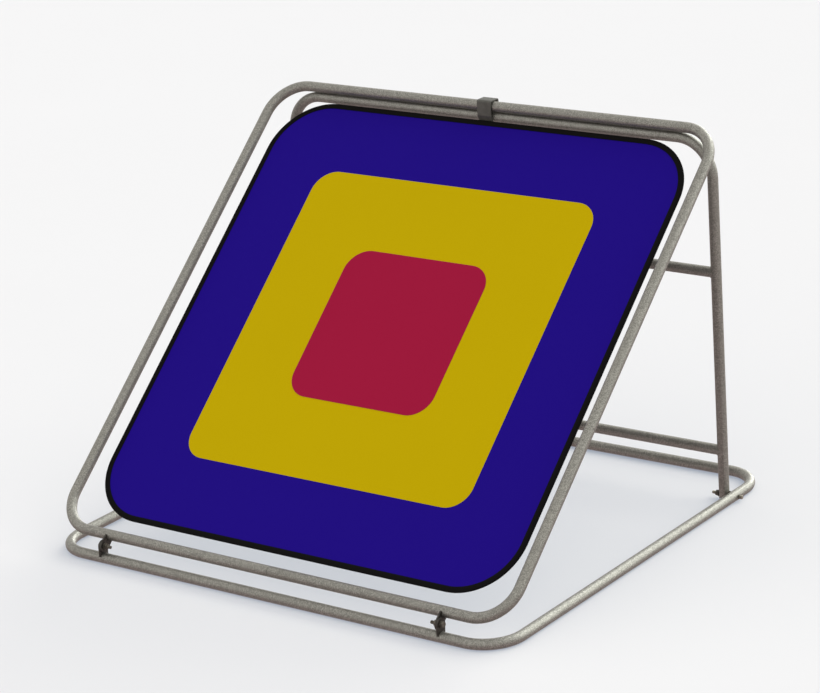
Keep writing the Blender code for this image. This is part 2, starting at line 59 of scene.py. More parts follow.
# Tubes, in metres
BEND_R = 0.090
BEND_STEPS = 14
FRONT_HEIGHT = 1.284
TUBE_SIDES = 40
TUBE_WALL = 0.002
TUBE_LIP = 0.0010          # rounding at an open end
TUBE_INSIDE = 0.010        # how far the wall is drawn inside an open end
TUBE_SHY = 0.00003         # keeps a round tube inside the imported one's box
JOINT_GAP = 0.0009
FOOT_R = 0.0124
FOOT_INSIDE = 0.03
CROSSBAR_SIDES = 48
CROSSBAR_WELD_STEPS = 120

# Welds
CROSSBAR_WELD_R = 0.0011
LUG_WELD_R = 0.0009
WELD_SIDES = 10
WELD_RIPPLE = 0.16
WELD_PITCH = 0.0035
WELD_END = 0.45            # how far a bead thins at its ends

# Fasteners
M8_R = 0.004
M8_PITCH = 0.00125
M8_FLATS = 0.013
M8_NUT_BORE = 0.0039
M8_WASHER_BORE = 0.0042
HINGE_HEAD = 0.0053
HINGE_THREADED = 0.018
LEG_HEAD = 0.0075
LEG_HEAD_ROUNDING = 0.0007
LEG_THREADED = 0.030
WASHER_ROUNDING = 0.0003
M6_R = 0.003
M6_PITCH = 0.001
M6_FLATS = 0.010
M6_NUT = 0.0050
M6_NUT_BORE = 0.0031
STUD_PROUD = 0.009
NUT_FACE = 0.44            # radius of a nut's round face, over its width across flats
NUT_WAIST = 0.0002         # how far a nut's bore narrows at its middle
SPUN_SIDES = 48

# Hinge lugs
LUG_EYE_R = 0.015
LUG_HOLE_R = 0.00415
LUG_ROUNDING = 0.0005
LUG_SEAT_GAP = 0.0002
LUG_HORN_ANGLE = 65.0      # how far each horn reaches round the tube, in degrees
LUG_HORN = 0.0027          # how far a horn's tip stands off the tube
LUG_TIP_TURN = 0.05
LUG_WELD_OUT = 0.0006
LUG_WELD_SHORT = 4.0       # how far a weld stops before each horn's tip, in degrees

# Sign, with distances out of it measured from the top bar's middle
SIGN_SIZE = 1.2
SIGN_CORNER_R = 0.150
SIGN_TOP = 0.0328
YELLOW_SIZE = 0.816
RED_SIZE = 0.408
PATCH_CORNER_R = 0.060
PATCH_STEPS = 28
FACE_N = -0.0150
SHEET_FRONT = -0.0165
SHEET_BACK = -0.0185
SHEET_INSET = 0.0015
TRIM_LEG = 0.014
TRIM_T = 0.0012
TRIM_LIP = 0.0005
TRIM_REAR = 0.0015
TRIM_FRONT_T = 0.0013
NOTCH_GAP = 0.0015
SLIVER = 0.0001            # what the trim's rear leg shrinks to in the notch
GAP = 0.0003

# Rails and their tape
RAIL_T = 0.002
RAIL_HALF_FOOT = 0.035
RAIL_HALF_CROWN = 0.020
RAIL_DEPTH = 0.020
RAIL_FILLET = 0.0018
TAPE_OFFSET = 0.0275
TAPE_HALF_WIDTH = 0.007
TAPE_END = 0.002

# Hanger strap
STRAP_X = -0.007
STRAP_WIDTH = 0.040
STRAP_T = 0.004
STRAP_LIP_Z = 0.004
STRAP_BACK_GAP = 0.001
STRAP_CLEAR = 0.0005       # how far the strap stays from the leg's top bar
STRAP_ROUNDING = 0.0005
STRAP_KNEE_Z = -0.0205
STRAP_TAIL = 0.112
STRAP_FILLETS = (0.004, 0.004, 0.008, 0.004)
FACETED = math.cos(math.pi / 16)   # a packed tube's flats over its corners

# Places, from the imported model
base_low, base_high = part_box("base_frame")
TUBE_R = (base_high.z - base_low.z) / 2
DRAWN_R = TUBE_R - TUBE_SHY
BASE_WIDTH = base_high.x - base_low.x - 2 * TUBE_R
BASE_DEPTH = base_high.y - base_low.y - 2 * TUBE_R
ORIGIN = Vector((0, base_low.y + TUBE_R, base_low.z + TUBE_R))
joints = {joint["name"]: Vector(joint["pos_m"]) for joint in frame["joints"]}
HINGE = joints["front_frame_fold"]
LEG_PIVOT = joints["leg_fold"]
TOP_BAR = joints["sign_swing"]
UP = (TOP_BAR - HINGE).normalized()
OUT = X.cross(UP)
FRONT_BAR = TOP_BAR - FRONT_HEIGHT * UP
SIGN_CENTRE = -SIGN_TOP - SIGN_SIZE / 2


def on_sign(x, up, out):
    """A point from the top bar's middle, along the sign's own axes."""
    return TOP_BAR + x * X + up * UP + out * OUT


# ---------------------------------------------------------------- materials

def srgb(red, green, blue):
    """A linear colour from levels of 0 to 255."""
    channels = [value / 255 for value in (red, green, blue)]
    linear = [c / 12.92 if c < 0.04045 else ((c + 0.055) / 1.055) ** 2.4 for c in channels]
    return (*linear, 1.0)


class Nodes:
    """A material's node tree, with short calls to add and join nodes."""

    def __init__(self, name):
        self.material = bpy.data.materials.new(name)
        self.material.use_nodes = True
        self.tree = self.material.node_tree
        self.shader = self.tree.nodes["Principled BSDF"]
        self.coords = self.tree.nodes.new("ShaderNodeTexCoord").outputs["Object"]

    def add(self, kind, **settings):
        node = self.tree.nodes.new(kind)
        for key, value in settings.items():
            setattr(node, key, value)
        return node

    def link(self, output, target):
        self.tree.links.new(output, target)

    def set(self, **values):
        for key, value in values.items():
            self.shader.inputs[key.replace("_", " ")].default_value = value

    def noise(self, scale, detail=4.0, roughness=0.55):
        node = self.add("ShaderNodeTexNoise")
        self.link(self.coords, node.inputs["Vector"])
        node.inputs["Scale"].default_value = scale
        node.inputs["Detail"].default_value = detail
        node.inputs["Roughness"].default_value = roughness
        return node.outputs["Fac"]

    def cells(self, scale, feature="F1", output="Color"):
        node = self.add("ShaderNodeTexVoronoi", feature=feature)
        self.link(self.coords, node.inputs["Vector"])
        node.inputs["Scale"].default_value = scale
        return node.outputs[output]

    def separate(self, colour):
        node = self.add("ShaderNodeSeparateColor")
        self.link(colour, node.inputs["Color"])
        return node.outputs

    def ramp(self, value, *stops):
        """Stops are (position, colour) pairs."""
        node = self.add("ShaderNodeValToRGB")
        self.link(value, node.inputs["Fac"])
        elements = node.color_ramp.elements
        while len(elements) < len(stops):
            elements.new(0.5)
        for element, (position, colour) in zip(elements, stops):
            element.position = position
            element.color = colour
        return node.outputs["Color"]

    def span(self, value, low, high, from_low=0.0, from_high=1.0):
        """Low to high as the value goes from one limit to the other, and no further."""
        node = self.add("ShaderNodeMapRange")
        self.link(value, node.inputs["Value"])
        limits = {"From Min": from_low, "From Max": from_high, "To Min": low, "To Max": high}
        for key, number in limits.items():
            node.inputs[key].default_value = number
        return node.outputs["Result"]

    def mix(self, factor, a, b):
        node = self.add("ShaderNodeMix", data_type="RGBA", blend_type="MIX")
        inputs = [node.inputs[0], node.inputs[6], node.inputs[7]]
        for socket, value in zip(inputs, (factor, a, b)):
            if isinstance(value, bpy.types.NodeSocket):
                self.link(value, socket)
            else:
                socket.default_value = value
        return node.outputs[2]

    def bump(self, height, strength, distance, under=None):
        node = self.add("ShaderNodeBump")
        self.link(height, node.inputs["Height"])
        node.inputs["Strength"].default_value = strength
        node.inputs["Distance"].default_value = distance
        if under is not None:
            self.link(under, node.inputs["Normal"])
        return node.outputs["Normal"]

    def finish(self, colour, roughness=None, normal=None):
        self.link(colour, self.shader.inputs["Base Color"])
        if roughness is not None:
            self.link(roughness, self.shader.inputs["Roughness"])
        if normal is not None:
            self.link(normal, self.shader.inputs["Normal"])
        return self.material


def galvanised(name, dark, middle, light, rough=(0.40, 0.60), grain=700.0):
    """Hot-dip zinc: small crystals of slightly different grey, with a pebbled skin that sparkles."""
    m = Nodes(name)
    crystal = m.separate(m.cells(grain))
    patch = m.noise(7.0, 4.0)
    runs = m.noise(45.0, 5.0, 0.6)
    colour = m.ramp(crystal["Red"], (0.05, dark), (0.5, middle), (0.95, light))
    colour = m.mix(m.span(patch, 0.0, 0.45, 0.35, 0.7), colour, middle)
    colour = m.mix(m.span(runs, 0.0, 0.30, 0.5, 0.8), colour, dark)
    rough_value = m.span(crystal["Green"], rough[0], rough[1])
    skin = m.bump(m.noise(1200.0, 2.0, 0.5), 0.30, 0.0003)
    pebbles = m.bump(crystal["Blue"], 0.20, 0.0002, skin)
    m.set(Metallic=0.80, Specular_IOR_Level=0.5)
    return m.finish(colour, rough_value, pebbles)


def dark_steel(name, dark, light, metallic=0.8):
    """Plain or zinc-plated steel, with a fine grain over broad patches."""
    m = Nodes(name)
    fine = m.noise(700.0, 5.0, 0.65)
    broad = m.noise(90.0, 3.0)
    colour = m.mix(m.span(broad, 0.0, 1.0, 0.35, 0.65), dark, light)
    colour = m.mix(m.span(fine, 0.0, 0.5, 0.4, 0.75), colour, light)
    m.set(Metallic=metallic, Specular_IOR_Level=0.5)
    return m.finish(colour, m.span(fine, 0.38, 0.62, 0.3, 0.7), m.bump(fine, 0.3, 0.0003))


def film(name, colour, darker):
    """Retroreflective film: a faint net of cells under a smooth matt face, with light handling marks."""
    m = Nodes(name)
    edge = m.cells(300.0, "DISTANCE_TO_EDGE", "Distance")
    net = m.span(edge, 1.0, 0.0, 0.0, 0.12)
    broad = m.noise(3.5, 4.0, 0.6)
    scuffs = m.noise(60.0, 6.0, 0.7)
    face = m.mix(m.span(net, 0.0, 0.16), colour, darker)
    face = m.mix(m.span(broad, 0.0, 0.10, 0.35, 0.7), face, darker)
    m.set(Metallic=0.0, Specular_IOR_Level=0.02)
    rough = m.span(scuffs, 0.52, 0.66, 0.3, 0.7)
    return m.finish(face, rough, m.bump(net, 0.06, 0.0001))


def black_rubber(name):
    """Matt black edging with a fine grain and a little dust."""
    m = Nodes(name)
    grain = m.noise(1800.0, 3.0, 0.6)
    dust = m.noise(25.0, 5.0, 0.65)
    colour = m.mix(m.span(dust, 0.0, 0.35, 0.5, 0.8), srgb(16, 15, 15), srgb(23, 22, 21))
    m.set(Metallic=0.0, Specular_IOR_Level=0.03)
    return m.finish(colour, m.span(dust, 0.5, 0.68, 0.3, 0.7), m.bump(grain, 0.25, 0.0002))


def mill_aluminium(name, dark, light, hazy, metallic=0.85):
    """Rolled or extruded aluminium, with faint lines along X and a soft haze."""
    m = Nodes(name)
    stretch = m.add("ShaderNodeMapping")
    m.link(m.coords, stretch.inputs["Vector"])
    stretch.inputs["Scale"].default_value = (0.02, 1.0, 1.0)
    lines = m.add("ShaderNodeTexNoise")
    m.link(stretch.outputs["Vector"], lines.inputs["Vector"])
    lines.inputs["Scale"].default_value = 900.0
    lines.inputs["Detail"].default_value = 3.0
    haze = m.noise(14.0, 4.0)
    colour = m.mix(m.span(lines.outputs["Fac"], 0.0, 1.0, 0.3, 0.7), dark, light)
    colour = m.mix(m.span(haze, 0.0, 0.4, 0.4, 0.7), colour, hazy)
    m.set(Metallic=metallic, Specular_IOR_Level=0.5)
    rough = m.span(haze, 0.38, 0.55, 0.3, 0.7)
    return m.finish(colour, rough, m.bump(lines.outputs["Fac"], 0.12, 0.0001))


ZINC_TUBE = galvanised("zinc_tube", srgb(114, 112, 107), srgb(144, 142, 134), srgb(177, 175, 166))
WELD = galvanised("weld", srgb(110, 107, 100), srgb(138, 134, 126), srgb(164, 161, 152), grain=900.0)
LUG_STEEL = dark_steel("lug_steel", srgb(52, 49, 46), srgb(84, 81, 76))
NUT_STEEL = dark_steel("nut_steel", srgb(78, 74, 67), srgb(118, 112, 102))
BOLT_ZINC = dark_steel("bolt_zinc", srgb(128, 122, 110), srgb(166, 160, 147), 0.85)
BOLT_DULL = dark_steel("bolt_dull", srgb(92, 88, 80), srgb(126, 121, 111), 0.85)
STRAP_STEEL = dark_steel("strap_steel_finish", srgb(78, 77, 71), srgb(90, 89, 83), 0.3)
BLUE = film("blue_face", (0.0148, 0.0038, 0.231, 1.0), (0.0125, 0.0030, 0.196, 1.0))
YELLOW = film("yellow_face", (0.546, 0.396, 0.0002, 1.0), (0.460, 0.330, 0.0002, 1.0))
RED = film("red_face", (0.354, 0.0095, 0.0462, 1.0), (0.295, 0.0075, 0.038, 1.0))
RUBBER = black_rubber("edge_rubber")
SHEET_METAL = mill_aluminium("sheet_aluminium", srgb(141, 144, 144), srgb(159, 162, 162),
                             srgb(133, 136, 136), 0.5)
ALUMINIUM = mill_aluminium("mill_aluminium", srgb(150, 152, 154), srgb(178, 180, 181),
                           srgb(138, 140, 140))


# ---------------------------------------------------------------- building

def piece(name, points, faces, body, materials, slot, nodes=(), smooth=35.0, bevel=0.0):
    """A finished piece: mesh, materials, rounded edges, and its place on a body."""
    mesh = bpy.data.meshes.new(name)
    mesh.from_pydata([Vector(p) for p in points], [], faces)
    shape = bmesh.new()
    shape.from_mesh(mesh)
    bmesh.ops.recalc_face_normals(shape, faces=shape.faces[:])
    shape.to_mesh(mesh)
    shape.free()
    mesh.shade_smooth()
    mesh.set_sharp_from_angle(angle=math.radians(smooth))
    obj = bpy.data.objects.new(name, mesh)
    bpy.context.scene.collection.objects.link(obj)
    for material in materials if isinstance(materials, list) else [materials]:
        mesh.materials.append(material)
    if bevel:
        modifier = obj.modifiers.new("edges", "BEVEL")
        modifier.width = bevel
        modifier.segments = 2
        modifier.limit_method = "ANGLE"
        modifier.angle_limit = math.radians(40)
        modifier.harden_normals = True
    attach(obj, body)
    if nodes:
        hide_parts(*nodes)
    return obj


def grid_faces(rings, sides, closed):
    """Faces between rings of points, each with as many sides, with the last joined to the first if closed."""
    faces = []
    for i in range(rings if closed else rings - 1):
        a, b = i * sides, (i + 1) % rings * sides
        for j in range(sides):
            k = (j + 1) % sides
            faces.append((a + j, a + k, b + k, b + j))
    return faces


def loft(rings, closed=False):
    """Points and faces of a solid through rings of points, with flat ends unless it is closed on itself."""
    sides = len(rings[0])
    points = [p for ring in rings for p in ring]
    faces = grid_faces(len(rings), sides, closed)
    if not closed:
        faces.append(tuple(range(sides)))
        faces.append(tuple(range(len(points) - sides, len(points))))
    return points, faces


def ring(centre, radius, a, b, sides=TUBE_SIDES):
    """A circle of points in the plane of a and b."""
    return [centre + radius * (math.cos(t) * a + math.sin(t) * b)
            for t in (2 * math.pi * (i + 0.5) / sides for i in range(sides))]


def bend(cx, cy, start, steps=BEND_STEPS, radius=BEND_R):
    """(point, direction) pairs round one anticlockwise corner."""
    found = []
    for i in range(steps + 1):
        t = math.radians(start + 90 * i / steps)
        found.append(((cx + radius * math.cos(t), cy + radius * math.sin(t)), (-math.sin(t), math.cos(t))))
    return found


def ring_path(width, depth, at_back):
    """Round a rounded rectangle in its own plane, from one side of the butt joint to the other."""
    half = width / 2 - BEND_R
    low, high = BEND_R, depth - BEND_R
    corners = [bend(half, low, -90), bend(half, high, 0), bend(-half, high, 90), bend(-half, low, 180)]
    sign, edge = (-1, depth) if at_back else (1, 0)
    if at_back:
        corners = corners[2:] + corners[:2]
    start = ((sign * JOINT_GAP / 2, edge), (sign, 0))
    end = ((-sign * JOINT_GAP / 2, edge), (sign, 0))
    return [start] + [pair for corner in corners for pair in corner] + [end]


def tube_rings(path, normal):
    """Sections of an open tube: rounded lips at its ends, and a wall that turns inside."""
    part = 0.3 * TUBE_LIP
    inner = DRAWN_R - TUBE_WALL
    end = ((TUBE_INSIDE, inner), (0.0, inner), (0.0, DRAWN_R - TUBE_LIP), (part, DRAWN_R - part),
           (TUBE_LIP, DRAWN_R))

    def section(point, along, radius):
        return ring(point, radius, normal, along.cross(normal))

    (first, ahead), (last, onward) = path[0], path[-1]
    rings = [section(first + inset * ahead, ahead, radius) for inset, radius in end]
    rings += [section(point, along, DRAWN_R) for point, along in path[1:-1]]
    rings += [section(last - inset * onward, onward, radius) for inset, radius in reversed(end)]
    return rings


def tube(name, path, normal, body, nodes):
    """A galvanised tube along (point, direction) pairs that lie in one plane."""
    points, faces = loft(tube_rings(path, normal))
    piece(name, points, faces, body, ZINC_TUBE, "galvanised_tube", nodes, smooth=50)


def weld(name, points, body, material, slot, radius, closed=False):
    """A round bead along a line of points, with the ripples of a weld."""
    count = len(points)
    travelled, rings, normal = 0.0, [], None
    for i, point in enumerate(points):
        before = points[(i - 1) % count] if closed else points[max(i - 1, 0)]
        after = points[(i + 1) % count] if closed else points[min(i + 1, count - 1)]
        along = (after - before).normalized()
        if normal is None:
            normal = along.orthogonal().normalized()
        normal = (normal - along * normal.dot(along)).normalized()
        if i:
            travelled += (point - points[i - 1]).length
        r = radius * (1 + WELD_RIPPLE * math.sin(2 * math.pi * travelled / WELD_PITCH))
        if not closed and i in (0, count - 1):
            r *= WELD_END
        rings.append(ring(point, r, normal, along.cross(normal), WELD_SIDES))
    piece(name, *loft(rings, closed), body, material, slot, smooth=60)


# ---------------------------------------------------------------- the three frames

def build_rings():
    """The ring on the floor, joined at its back, and the leaning ring, joined at its foot."""
    path = [(ORIGIN + x * X + y * Y, (dx * X + dy * Y)) for (x, y), (dx, dy) in
            ring_path(BASE_WIDTH, BASE_DEPTH, True)]
    tube("base_ring", path, Z, "base", ["base_frame", "base_frame_sleeve"])
    path = [(FRONT_BAR + x * X + u * UP, (dx * X + du * UP)) for (x, u), (dx, du) in
            ring_path(BASE_WIDTH, FRONT_HEIGHT, False)]
    tube("front_ring", path, OUT, "front_frame", ["front_frame", "front_frame_sleeve"])


def build_leg():
    """The upright hoop, open at its feet, with its two crossbars."""
    leg_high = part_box("leg_frame")[1]
    half = leg_high.x - TUBE_R
    top = leg_high.z - TUBE_R
    centre = Vector((0, LEG_PIVOT.y, 0))
    corners = bend(half - BEND_R, top - BEND_R, 0) + bend(BEND_R - half, top - BEND_R, 90)
    path = [(centre + x * X + z * Z, (dx * X + dz * Z)) for (x, z), (dx, dz) in corners]
    ends = [(centre + sign * half * X + LEG_PIVOT.z * Z, sign * Z) for sign in (1, -1)]
    rings = [ring(point, DRAWN_R, Y, along.cross(Y)) for point, along in [ends[0], *path, ends[1]]]
    inner = [ring(point, TUBE_R - TUBE_WALL, Y, along.cross(Y)) for point, along in ends]
    for foot in (rings[0], rings[-1], *inner):
        round_foot(foot)
    deep = [[p + FOOT_INSIDE * Z for p in foot] for foot in inner]
    points, faces = loft([deep[0], inner[0], *rings, inner[1], deep[1]])
    piece("leg_hoop", points, faces, "leg", ZINC_TUBE, "galvanised_tube", ["leg_frame"], smooth=50)
    for name in ("lower", "upper"):
        build_crossbar(name, half, centre)


def round_foot(points):
    """Ends a leg's tube in an arc about its pivot, so that the foot turns clear of the floor."""
    for p in points:
        reach = min(abs(p.y - LEG_PIVOT.y), FOOT_R)
        p.z = LEG_PIVOT.z - math.sqrt(FOOT_R ** 2 - reach ** 2)


def build_crossbar(name, half, centre):
    """One bar, coped to the hoop's sides, with a weld round each end."""
    low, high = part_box("leg_crossbar_" + name)
    middle = centre + (low.z + high.z) / 2 * Z
    radius = TUBE_R - 0.0001
    rings = []
    for sign in (-1, 1):
        section = ring(middle, radius, Y, Z, CROSSBAR_SIDES)
        for p in section:
            p.x = sign * (half - math.sqrt(max(TUBE_R ** 2 - (p.y - middle.y) ** 2, 0)) + 0.0001)
        rings.append(section)
    node = "leg_crossbar_" + name
    points, faces = loft(rings)
    piece(node + "_tube", points, faces, "leg", ZINC_TUBE, "galvanised_tube", [node], smooth=50)
    bead = radius + 0.0004
    for side, sign in (("left", -1), ("right", 1)):
        line = []
        for i in range(CROSSBAR_WELD_STEPS):
            t = 2 * math.pi * i / CROSSBAR_WELD_STEPS
            y = bead * math.cos(t)
            x = sign * (half - math.sqrt(max((TUBE_R + GAP) ** 2 - y ** 2, 0)))
            line.append(Vector((x, middle.y + y, middle.z + bead * math.sin(t))))
        weld(f"weld_crossbar_{name}_{side}", line, "leg", WELD, "galvanised_tube", CROSSBAR_WELD_R, True)


# ---------------------------------------------------------------- fasteners along X

def hex_radius(flats):
    """A hexagon's radius as a function of the angle."""
    def radius(t):
        folded = (t + math.pi / 6) % (math.pi / 3) - math.pi / 6
        return flats / 2 / math.cos(folded)
    return radius


def spun(name, centre, profile, body, material, slot, nodes, axis=X, side_axis=Y, closed=False):
    """A solid round an axis, or a ring if closed. The profile lists (distance along, radius or function)."""
    up = axis.cross(side_axis)
    rings = []
    for along, radius in profile:
        row = []
        for i in range(SPUN_SIDES):
            t = 2 * math.pi * i / SPUN_SIDES
            r = radius(t) if callable(radius) else radius
            row.append(centre + along * axis + r * (math.cos(t) * side_axis + math.sin(t) * up))
        rings.append(row)
    piece(name, *loft(rings, closed), body, material, slot, nodes, smooth=32)


def hex_profile(flats, start, end, chamfer_start, chamfer_end):
    """A hexagon prism whose corners are turned off at its ends."""
    corner = hex_radius(flats)
    span = flats * 0.077
    direction = 1 if end > start else -1

    def cone(offset):
        limit = flats / 2 * 0.98 + offset * 1.732
        return lambda t: min(corner(t), limit)

    rows = []
    if chamfer_start:
        rows += [(start + direction * span * f / 4, cone(span * f / 4)) for f in range(5)]
    else:
        rows.append((start, corner))
    if chamfer_end:
        rows += [(end - direction * span * f / 4, cone(span * f / 4)) for f in range(4, -1, -1)]
    else:
        rows.append((end, corner))
    return rows


def thread_profile(start, end, radius, pitch):
    """Rows of a helical thread, ending in a small chamfer."""
    depth = 0.6 * pitch
    rows = []
    count = max(int(abs(end - start) / pitch * 8), 8)
    for i in range(count + 1):
        along = start + (end - start) * i / count
        left = abs(end - along)

        def depth_at(t, along=along, left=left):
            phase = (along / pitch - t / (2 * math.pi)) % 1
            groove = depth * (1 - abs(2 * phase - 1))
            return min(radius - groove, radius - depth + left * 0.9) - 0.00005

        rows.append((along, depth_at))
    return rows


def boxed(name):
    """The low and high corners of a node's box, and its middle in Y and Z."""
    low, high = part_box(name)
    return low, high, Vector((0, (low.y + high.y) / 2, (low.z + high.z) / 2))


def build_bolt(name, threaded):
    """An M8 bolt from its packed box: hexagon-headed in a hinge, plain and round in a leg."""
    low, high, centre = boxed(name)
    left = name.endswith("left")
    sign = -1 if left else 1
    top = low.x if left else high.x
    end = high.x if left else low.x
    if name.startswith("leg"):
        finish = BOLT_ZINC
        head_r, seat, soft = (high.z - low.z) / 2, top - sign * LEG_HEAD, LEG_HEAD_ROUNDING
        profile = [(top, 0.0), (top, head_r - soft)]
        for angle in (30, 60, 90):
            t = math.radians(angle)
            profile.append((top - sign * soft * (1 - math.cos(t)), head_r - soft + soft * math.sin(t)))
        profile.append((seat, head_r))
    else:
        finish = BOLT_DULL
        seat, dish = top - sign * HINGE_HEAD, top - sign * 0.0002
        profile = [(dish, 0.0), (dish, M8_FLATS * 0.36), (top, M8_FLATS * 0.40)]
        profile += hex_profile(M8_FLATS, top, seat, True, False)
    profile += [(seat, M8_R), (end + sign * threaded, M8_R)]
    profile += thread_profile(end + sign * (threaded - 0.0005), end, M8_R, M8_PITCH)
    profile.append((end, 0.0))
    spun(name + "_m8", centre, profile, "base", finish, "zinc_fastener", [name])


def nut_profile(flats, start, end, bore):
    """A hexagon nut with a round face at each end, and a bore that narrows to its middle."""
    profile = [(start, bore), (start, flats * NUT_FACE)]
    profile += hex_profile(flats, start, end, True, True)
    return profile + [(end, flats * NUT_FACE), (end, bore), ((start + end) / 2, bore - NUT_WAIST)]


def build_nut(name):
    """An M8 nut from its packed box."""
    low, high, centre = boxed(name)
    profile = nut_profile(M8_FLATS, low.x, high.x, M8_NUT_BORE)
    spun(name + "_hex", centre, profile, "base", NUT_STEEL, "hinge_steel", [name], closed=True)


def build_washer(name):
    """A washer or a spacer from its packed box."""
    low, high, centre = boxed(name)
    radius, lip, bore = (high.y - low.y) / 2, WASHER_ROUNDING, M8_WASHER_BORE
    profile = [
        (low.x, bore), (low.x, radius - lip), (low.x + lip, radius),
        (high.x - lip, radius), (high.x, radius - lip), (high.x, bore),
    ]
    spun(name + "_disc", centre, profile, "base", NUT_STEEL, "hinge_steel", [name], closed=True)


def build_fasteners():
    """A bolt, a nut and two washers in each hinge and at each leg, with a spacer inside each leg."""
    for side in ("left", "right"):
        for group, threaded in (("leg", LEG_THREADED), ("hinge", HINGE_THREADED)):
            build_bolt(f"{group}_bolt_{side}", threaded)
            build_nut(f"{group}_nut_{side}")
            build_washer(f"{group}_washer_outer_{side}")
            build_washer(f"{group}_washer_inner_{side}")
        build_washer(f"leg_spacer_{side}")


# ---------------------------------------------------------------- hinge lugs

def tangent_angle(centre, radius, point, side):
    """Where a line from the point touches a circle, as an angle round it."""
    dx, dy = point[0] - centre[0], point[1] - centre[1]
    return math.atan2(dy, dx) + side * math.acos(radius / math.hypot(dx, dy))


def lug_outline(length):
    """A lug along +Y that saddles a tube at the origin and ends round an eye."""
    seat = TUBE_R + LUG_SEAT_GAP
    start, end = math.radians(90 - LUG_HORN_ANGLE), math.radians(90 + LUG_HORN_ANGLE)
    saddle = [(seat * math.cos(t), seat * math.sin(t))
              for t in (start + (end - start) * i / 28 for i in range(29))]
    tip_r = TUBE_R + LUG_HORN
    tips = [(tip_r * math.cos(t), tip_r * math.sin(t)) for t in (end + LUG_TIP_TURN, start - LUG_TIP_TURN)]
    eye = (0, length)
    near = tangent_angle(eye, LUG_EYE_R, tips[0], -1)
    far = tangent_angle(eye, LUG_EYE_R, tips[1], 1)
    sweep_angle = (near - far) % (2 * math.pi)
    around = [(LUG_EYE_R * math.cos(t), length + LUG_EYE_R * math.sin(t))
              for t in (near - sweep_angle * i / 40 for i in range(41))]
    return saddle + [tips[0]] + around + [tips[1]]


def build_lug_plate(node, outline, hole, to_3d, thick, body):
    """A flat plate with one round hole, as thick as the vector given, with rounded edges."""
    shape = bmesh.new()
    edges = []
    for loop in (outline, hole):
        verts = [shape.verts.new(to_3d(*point)) for point in loop]
        edges += [shape.edges.new((verts[i], verts[(i + 1) % len(verts)])) for i in range(len(verts))]
    filled = bmesh.ops.triangle_fill(shape, edges=edges, use_beauty=True)
    faces = [f for f in filled["geom"] if isinstance(f, bmesh.types.BMFace)]
    grown = bmesh.ops.extrude_face_region(shape, geom=faces)
    moved = [v for v in grown["geom"] if isinstance(v, bmesh.types.BMVert)]
    bmesh.ops.translate(shape, vec=thick, verts=moved)
    shape.verts.index_update()
    points = [v.co.copy() for v in shape.verts]
    polygons = [tuple(v.index for v in f.verts) for f in shape.faces]
    shape.free()
    piece(node + "_plate", points, polygons, body, LUG_STEEL, "hinge_steel", [node], bevel=LUG_ROUNDING)


def build_lugs():
    """Two lugs at each hinge, one on the base's front bar and one on the front frame's foot."""
    length = (HINGE - ORIGIN).length
    outline = lug_outline(length)
    hole = [(LUG_HOLE_R * math.cos(t), length + LUG_HOLE_R * math.sin(t))
            for t in (2 * math.pi * i / 32 for i in range(32))]
    frames = {
        "lower": (ORIGIN, (HINGE - ORIGIN).normalized(), "base"),
        "upper": (FRONT_BAR, -UP, "front_frame"),
    }
    reach = LUG_HORN_ANGLE - LUG_WELD_SHORT
    weld_r = TUBE_R + LUG_WELD_OUT
    for which, (tube_centre, axis, body) in frames.items():
        for side in ("left", "right"):
            node = f"hinge_lug_{which}_{side}"
            low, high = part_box(node)

            def place(a, b, centre=tube_centre, axis=axis, x=low.x):
                return Vector((x, 0, 0)) + Vector((0, centre.y, centre.z)) + a * axis.cross(X) + b * axis

            build_lug_plate(node, outline, hole, place, Vector((high.x - low.x, 0, 0)), body)
            outward = (side == "right") == (which == "lower")
            x = high.x if outward else low.x
            line = []
            for i in range(40):
                t = math.radians(90 - reach + 2 * reach * i / 39)
                p = place(weld_r * math.cos(t), weld_r * math.sin(t))
                line.append(Vector((x, p.y, p.z)))
            weld("weld_" + node, line, body, LUG_STEEL, "hinge_steel", LUG_WELD_R)


# ---------------------------------------------------------------- sign

def rounded_square(size, corner):
    """Outline of a square on the sign, about its middle, with round corners."""
    half = size / 2 - corner
    points = []
    for i, (sx, sy) in enumerate(((1, 1), (-1, 1), (-1, -1), (1, -1))):
        points += [p for p, _ in bend(sx * half, SIGN_CENTRE + sy * half, 90 * i, PATCH_STEPS, corner)]
    return points


def build_plate(name, size, corner, back, front, materials, slot, node, lip):
    """A thin rounded square. Its front edge is softened by a narrow chamfer."""
    rings = []
    for inset, out in ((0.0, back), (0.0, front - lip), (lip * 0.6, front)):
        outline = rounded_square(size - 2 * inset, corner - inset)
        rings.append([on_sign(x, u, out) for x, u in outline])
    points, faces = loft(rings)
    obj = piece(name, points, faces, "sign", materials, slot, [node], smooth=30)
    if len(materials) > 1:
        for polygon in obj.data.polygons:
            polygon.material_index = 0 if polygon.normal.dot(OUT) > 0.3 else 1


def build_sign():
    """The sheet with its two films, the edge channel, the rails and their tape, and the hanger."""
    build_plate("sign_sheet", SIGN_SIZE - 2 * SHEET_INSET, SIGN_CORNER_R - SHEET_INSET, SHEET_BACK,
                SHEET_FRONT, [BLUE, SHEET_METAL], "blue_sheet", "sign_panel", 0.0003)
    build_plate("yellow_film", YELLOW_SIZE, PATCH_CORNER_R, SHEET_FRONT - 0.0001,
                SHEET_FRONT + 0.0006, [YELLOW], "yellow_film", "sign_yellow_square", 0.0002)
    build_plate("red_film", RED_SIZE, PATCH_CORNER_R, SHEET_FRONT + 0.0004,
                SHEET_FRONT + 0.0012, [RED], "red_film", "sign_red_square", 0.0002)
    build_trim()
    build_rails()
    build_strap()


